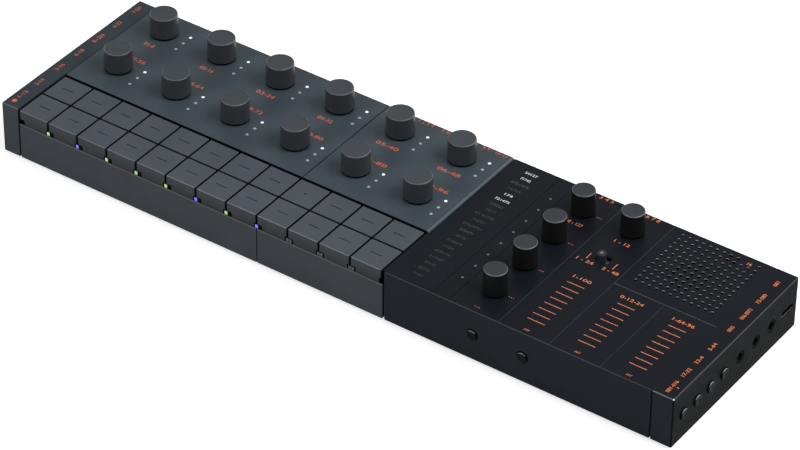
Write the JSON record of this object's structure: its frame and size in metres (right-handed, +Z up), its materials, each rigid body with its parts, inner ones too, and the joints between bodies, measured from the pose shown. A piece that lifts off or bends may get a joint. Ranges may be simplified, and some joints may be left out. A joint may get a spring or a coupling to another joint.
{
  "type": "portable drum machine",
  "caption": "Wide low desktop drum machine: grey sections with rows of square keys and round knobs, a black section with touch strips, knobs and a dot grille, and end caps.",
  "frame": {"origin": "on the surface that the feet stand on, under the middle of the body", "axes": "+X to the right along the long side as its player sees it, +Y away from the player to the back, +Z up"},
  "size_m": [0.3446, 0.0986, 0.038],
  "materials": {
    "grey_case": "fine satin",
    "black_case": "fine satin",
    "base_plastic": "fine texture",
    "key_plastic": "matte",
    "grey_knob": "satin",
    "black_knob": "semi-gloss",
    "lever_plastic": "satin",
    "button_plastic": "satin",
    "circuit_board": "solder mask",
    "silicone": "translucent grey",
    "battery_foil": "foil",
    "speaker_frame": "dark",
    "encoder_metal": "plated",
    "socket_plastic": "moulded",
    "foot_rubber": "matte",
    "screw_steel": "plated"
  },
  "bodies": {
    "housing": {"base_plate": "base_plastic", "left_end_cap": "grey_case", "drum_case": "grey_case", "synth_case": "grey_case", "effects_case": "black_case", "right_end_cap": "black_case", "main_board": "circuit_board", "key_mat": "silicone", "battery": "battery_foil", "speaker": "speaker_frame", "encoders": "encoder_metal", "sockets": "socket_plastic", "rubber_feet": "foot_rubber", "screws": "screw_steel"},
    "drum_key_back_1": {"drum_key_back_1": "key_plastic"},
    "drum_key_back_2": {"drum_key_back_2": "key_plastic"},
    "drum_key_back_3": {"drum_key_back_3": "key_plastic"},
    "drum_key_back_4": {"drum_key_back_4": "key_plastic"},
    "drum_key_back_5": {"drum_key_back_5": "key_plastic"},
    "drum_key_back_6": {"drum_key_back_6": "key_plastic"},
    "drum_key_back_7": {"drum_key_back_7": "key_plastic"},
    "drum_key_back_8": {"drum_key_back_8": "key_plastic"},
    "drum_key_front_1": {"drum_key_front_1": "key_plastic"},
    "drum_key_front_2": {"drum_key_front_2": "key_plastic"},
    "drum_key_front_3": {"drum_key_front_3": "key_plastic"},
    "drum_key_front_4": {"drum_key_front_4": "key_plastic"},
    "drum_key_front_5": {"drum_key_front_5": "key_plastic"},
    "drum_key_front_6": {"drum_key_front_6": "key_plastic"},
    "drum_key_front_7": {"drum_key_front_7": "key_plastic"},
    "drum_key_front_8": {"drum_key_front_8": "key_plastic"},
    "synth_key_back_1": {"synth_key_back_1": "key_plastic"},
    "synth_key_back_2": {"synth_key_back_2": "key_plastic"},
    "synth_key_back_3": {"synth_key_back_3": "key_plastic"},
    "synth_key_back_4": {"synth_key_back_4": "key_plastic"},
    "synth_key_front_1": {"synth_key_front_1": "key_plastic"},
    "synth_key_front_2": {"synth_key_front_2": "key_plastic"},
    "synth_key_front_3": {"synth_key_front_3": "key_plastic"},
    "synth_key_front_4": {"synth_key_front_4": "key_plastic"},
    "drum_knob_1": {"drum_knob_1": "grey_knob"},
    "drum_knob_2": {"drum_knob_2": "grey_knob"},
    "drum_knob_3": {"drum_knob_3": "grey_knob"},
    "drum_knob_4": {"drum_knob_4": "grey_knob"},
    "drum_knob_5": {"drum_knob_5": "grey_knob"},
    "drum_knob_6": {"drum_knob_6": "grey_knob"},
    "drum_knob_7": {"drum_knob_7": "grey_knob"},
    "drum_knob_8": {"drum_knob_8": "grey_knob"},
    "synth_knob_1": {"synth_knob_1": "grey_knob"},
    "synth_knob_2": {"synth_knob_2": "grey_knob"},
    "synth_knob_3": {"synth_knob_3": "grey_knob"},
    "synth_knob_4": {"synth_knob_4": "grey_knob"},
    "sound_knob_1": {"sound_knob_1": "black_knob"},
    "sound_knob_2": {"sound_knob_2": "black_knob"},
    "sound_knob_3": {"sound_knob_3": "black_knob"},
    "sound_knob_4": {"sound_knob_4": "black_knob"},
    "effects_knob": {"effects_knob": "black_knob"},
    "mode_switch_lever": {"mode_switch_lever": "lever_plastic"},
    "left_button_strip": {"left_button_strip": "button_plastic"},
    "right_button_strip": {"right_button_strip": "button_plastic"},
    "front_button_strip": {"front_button_strip": "button_plastic"},
    "rear_button_strip": {"rear_button_strip": "button_plastic"}
  },
  "joints": [
    {"name": "drum_key_back_1_press", "type": "slide", "parent": "housing", "child": "drum_key_back_1", "axis": [0, 0, -1], "range_m": [0, 0.0004], "stiffness_N_per_m": 800, "springref_m": -0.0003},
    {"name": "drum_key_back_2_press", "type": "slide", "parent": "housing", "child": "drum_key_back_2", "axis": [0, 0, -1], "range_m": [0, 0.0004], "stiffness_N_per_m": 800, "springref_m": -0.0003},
    {"name": "drum_key_back_3_press", "type": "slide", "parent": "housing", "child": "drum_key_back_3", "axis": [0, 0, -1], "range_m": [0, 0.0004], "stiffness_N_per_m": 800, "springref_m": -0.0003},
    {"name": "drum_key_back_4_press", "type": "slide", "parent": "housing", "child": "drum_key_back_4", "axis": [0, 0, -1], "range_m": [0, 0.0004], "stiffness_N_per_m": 800, "springref_m": -0.0003},
    {"name": "drum_key_back_5_press", "type": "slide", "parent": "housing", "child": "drum_key_back_5", "axis": [0, 0, -1], "range_m": [0, 0.0004], "stiffness_N_per_m": 800, "springref_m": -0.0003},
    {"name": "drum_key_back_6_press", "type": "slide", "parent": "housing", "child": "drum_key_back_6", "axis": [0, 0, -1], "range_m": [0, 0.0004], "stiffness_N_per_m": 800, "springref_m": -0.0003},
    {"name": "drum_key_back_7_press", "type": "slide", "parent": "housing", "child": "drum_key_back_7", "axis": [0, 0, -1], "range_m": [0, 0.0004], "stiffness_N_per_m": 800, "springref_m": -0.0003},
    {"name": "drum_key_back_8_press", "type": "slide", "parent": "housing", "child": "drum_key_back_8", "axis": [0, 0, -1], "range_m": [0, 0.0004], "stiffness_N_per_m": 800, "springref_m": -0.0003},
    {"name": "drum_key_front_1_press", "type": "slide", "parent": "housing", "child": "drum_key_front_1", "axis": [0, 0, -1], "range_m": [0, 0.0004], "stiffness_N_per_m": 800, "springref_m": -0.0003},
    {"name": "drum_key_front_2_press", "type": "slide", "parent": "housing", "child": "drum_key_front_2", "axis": [0, 0, -1], "range_m": [0, 0.0004], "stiffness_N_per_m": 800, "springref_m": -0.0003},
    {"name": "drum_key_front_3_press", "type": "slide", "parent": "housing", "child": "drum_key_front_3", "axis": [0, 0, -1], "range_m": [0, 0.0004], "stiffness_N_per_m": 800, "springref_m": -0.0003},
    {"name": "drum_key_front_4_press", "type": "slide", "parent": "housing", "child": "drum_key_front_4", "axis": [0, 0, -1], "range_m": [0, 0.0004], "stiffness_N_per_m": 800, "springref_m": -0.0003},
    {"name": "drum_key_front_5_press", "type": "slide", "parent": "housing", "child": "drum_key_front_5", "axis": [0, 0, -1], "range_m": [0, 0.0004], "stiffness_N_per_m": 800, "springref_m": -0.0003},
    {"name": "drum_key_front_6_press", "type": "slide", "parent": "housing", "child": "drum_key_front_6", "axis": [0, 0, -1], "range_m": [0, 0.0004], "stiffness_N_per_m": 800, "springref_m": -0.0003},
    {"name": "drum_key_front_7_press", "type": "slide", "parent": "housing", "child": "drum_key_front_7", "axis": [0, 0, -1], "range_m": [0, 0.0004], "stiffness_N_per_m": 800, "springref_m": -0.0003},
    {"name": "drum_key_front_8_press", "type": "slide", "parent": "housing", "child": "drum_key_front_8", "axis": [0, 0, -1], "range_m": [0, 0.0004], "stiffness_N_per_m": 800, "springref_m": -0.0003},
    {"name": "synth_key_back_1_press", "type": "slide", "parent": "housing", "child": "synth_key_back_1", "axis": [0, 0, -1], "range_m": [0, 0.0004], "stiffness_N_per_m": 800, "springref_m": -0.0003},
    {"name": "synth_key_back_2_press", "type": "slide", "parent": "housing", "child": "synth_key_back_2", "axis": [0, 0, -1], "range_m": [0, 0.0004], "stiffness_N_per_m": 800, "springref_m": -0.0003},
    {"name": "synth_key_back_3_press", "type": "slide", "parent": "housing", "child": "synth_key_back_3", "axis": [0, 0, -1], "range_m": [0, 0.0004], "stiffness_N_per_m": 800, "springref_m": -0.0003},
    {"name": "synth_key_back_4_press", "type": "slide", "parent": "housing", "child": "synth_key_back_4", "axis": [0, 0, -1], "range_m": [0, 0.0004], "stiffness_N_per_m": 800, "springref_m": -0.0003},
    {"name": "synth_key_front_1_press", "type": "slide", "parent": "housing", "child": "synth_key_front_1", "axis": [0, 0, -1], "range_m": [0, 0.0004], "stiffness_N_per_m": 800, "springref_m": -0.0003},
    {"name": "synth_key_front_2_press", "type": "slide", "parent": "housing", "child": "synth_key_front_2", "axis": [0, 0, -1], "range_m": [0, 0.0004], "stiffness_N_per_m": 800, "springref_m": -0.0003},
    {"name": "synth_key_front_3_press", "type": "slide", "parent": "housing", "child": "synth_key_front_3", "axis": [0, 0, -1], "range_m": [0, 0.0004], "stiffness_N_per_m": 800, "springref_m": -0.0003},
    {"name": "synth_key_front_4_press", "type": "slide", "parent": "housing", "child": "synth_key_front_4", "axis": [0, 0, -1], "range_m": [0, 0.0004], "stiffness_N_per_m": 800, "springref_m": -0.0003},
    {"name": "drum_knob_1_turn", "type": "hinge", "parent": "housing", "child": "drum_knob_1", "pos_m": [-0.1464, 0.0014, 0.0011], "axis": [0, 0, 1], "continuous": true},
    {"name": "drum_knob_2_turn", "type": "hinge", "parent": "housing", "child": "drum_knob_2", "pos_m": [-0.1144, 0.0014, 0.0011], "axis": [0, 0, 1], "continuous": true},
    {"name": "drum_knob_3_turn", "type": "hinge", "parent": "housing", "child": "drum_knob_3", "pos_m": [-0.0824, 0.0014, 0.0011], "axis": [0, 0, 1], "continuous": true},
    {"name": "drum_knob_4_turn", "type": "hinge", "parent": "housing", "child": "drum_knob_4", "pos_m": [-0.0504, 0.0014, 0.0011], "axis": [0, 0, 1], "continuous": true},
    {"name": "drum_knob_5_turn", "type": "hinge", "parent": "housing", "child": "drum_knob_5", "pos_m": [-0.1464, 0.0342, 0.0011], "axis": [0, 0, 1], "continuous": true},
    {"name": "drum_knob_6_turn", "type": "hinge", "parent": "housing", "child": "drum_knob_6", "pos_m": [-0.1144, 0.0342, 0.0011], "axis": [0, 0, 1], "continuous": true},
    {"name": "drum_knob_7_turn", "type": "hinge", "parent": "housing", "child": "drum_knob_7", "pos_m": [-0.0824, 0.0342, 0.0011], "axis": [0, 0, 1], "continuous": true},
    {"name": "drum_knob_8_turn", "type": "hinge", "parent": "housing", "child": "drum_knob_8", "pos_m": [-0.0504, 0.0342, 0.0011], "axis": [0, 0, 1], "continuous": true},
    {"name": "synth_knob_1_turn", "type": "hinge", "parent": "housing", "child": "synth_knob_1", "pos_m": [-0.0184, 0.0014, 0.0011], "axis": [0, 0, 1], "continuous": true},
    {"name": "synth_knob_2_turn", "type": "hinge", "parent": "housing", "child": "synth_knob_2", "pos_m": [0.0136, 0.0014, 0.0011], "axis": [0, 0, 1], "continuous": true},
    {"name": "synth_knob_3_turn", "type": "hinge", "parent": "housing", "child": "synth_knob_3", "pos_m": [-0.0184, 0.0342, 0.0011], "axis": [0, 0, 1], "continuous": true},
    {"name": "synth_knob_4_turn", "type": "hinge", "parent": "housing", "child": "synth_knob_4", "pos_m": [0.0136, 0.0342, 0.0011], "axis": [0, 0, 1], "continuous": true},
    {"name": "sound_knob_1_turn", "type": "hinge", "parent": "housing", "child": "sound_knob_1", "pos_m": [0.0755, -0.0324, 0.0011], "axis": [0, 0, 1], "continuous": true},
    {"name": "sound_knob_2_turn", "type": "hinge", "parent": "housing", "child": "sound_knob_2", "pos_m": [0.0755, -0.0104, 0.0011], "axis": [0, 0, 1], "continuous": true},
    {"name": "sound_knob_3_turn", "type": "hinge", "parent": "housing", "child": "sound_knob_3", "pos_m": [0.0755, 0.0116, 0.0011], "axis": [0, 0, 1], "continuous": true},
    {"name": "sound_knob_4_turn", "type": "hinge", "parent": "housing", "child": "sound_knob_4", "pos_m": [0.0755, 0.0336, 0.0011], "axis": [0, 0, 1], "continuous": true},
    {"name": "effects_knob_turn", "type": "hinge", "parent": "housing", "child": "effects_knob", "pos_m": [0.0999, 0.0336, 0.0011], "axis": [0, 0, 1], "continuous": true},
    {"name": "mode_switch_lever_slide", "type": "slide", "parent": "housing", "child": "mode_switch_lever", "axis": [1, 0, 0], "range_m": [0, 0.002]},
    {"name": "left_button_strip_press", "type": "slide", "parent": "housing", "child": "left_button_strip", "axis": [1, 0, 0], "range_m": [0, 0.0006], "stiffness_N_per_m": 400, "springref_m": -0.0003},
    {"name": "right_button_strip_press", "type": "slide", "parent": "housing", "child": "right_button_strip", "axis": [-1, 0, 0], "range_m": [0, 0.0006], "stiffness_N_per_m": 400, "springref_m": -0.0003},
    {"name": "front_button_strip_press", "type": "slide", "parent": "housing", "child": "front_button_strip", "axis": [0, 1, 0], "range_m": [0, 0.0006], "stiffness_N_per_m": 400, "springref_m": -0.0003},
    {"name": "rear_button_strip_press", "type": "slide", "parent": "housing", "child": "rear_button_strip", "axis": [0, -1, 0], "range_m": [0, 0.0006], "stiffness_N_per_m": 400, "springref_m": -0.0003}
  ]
}
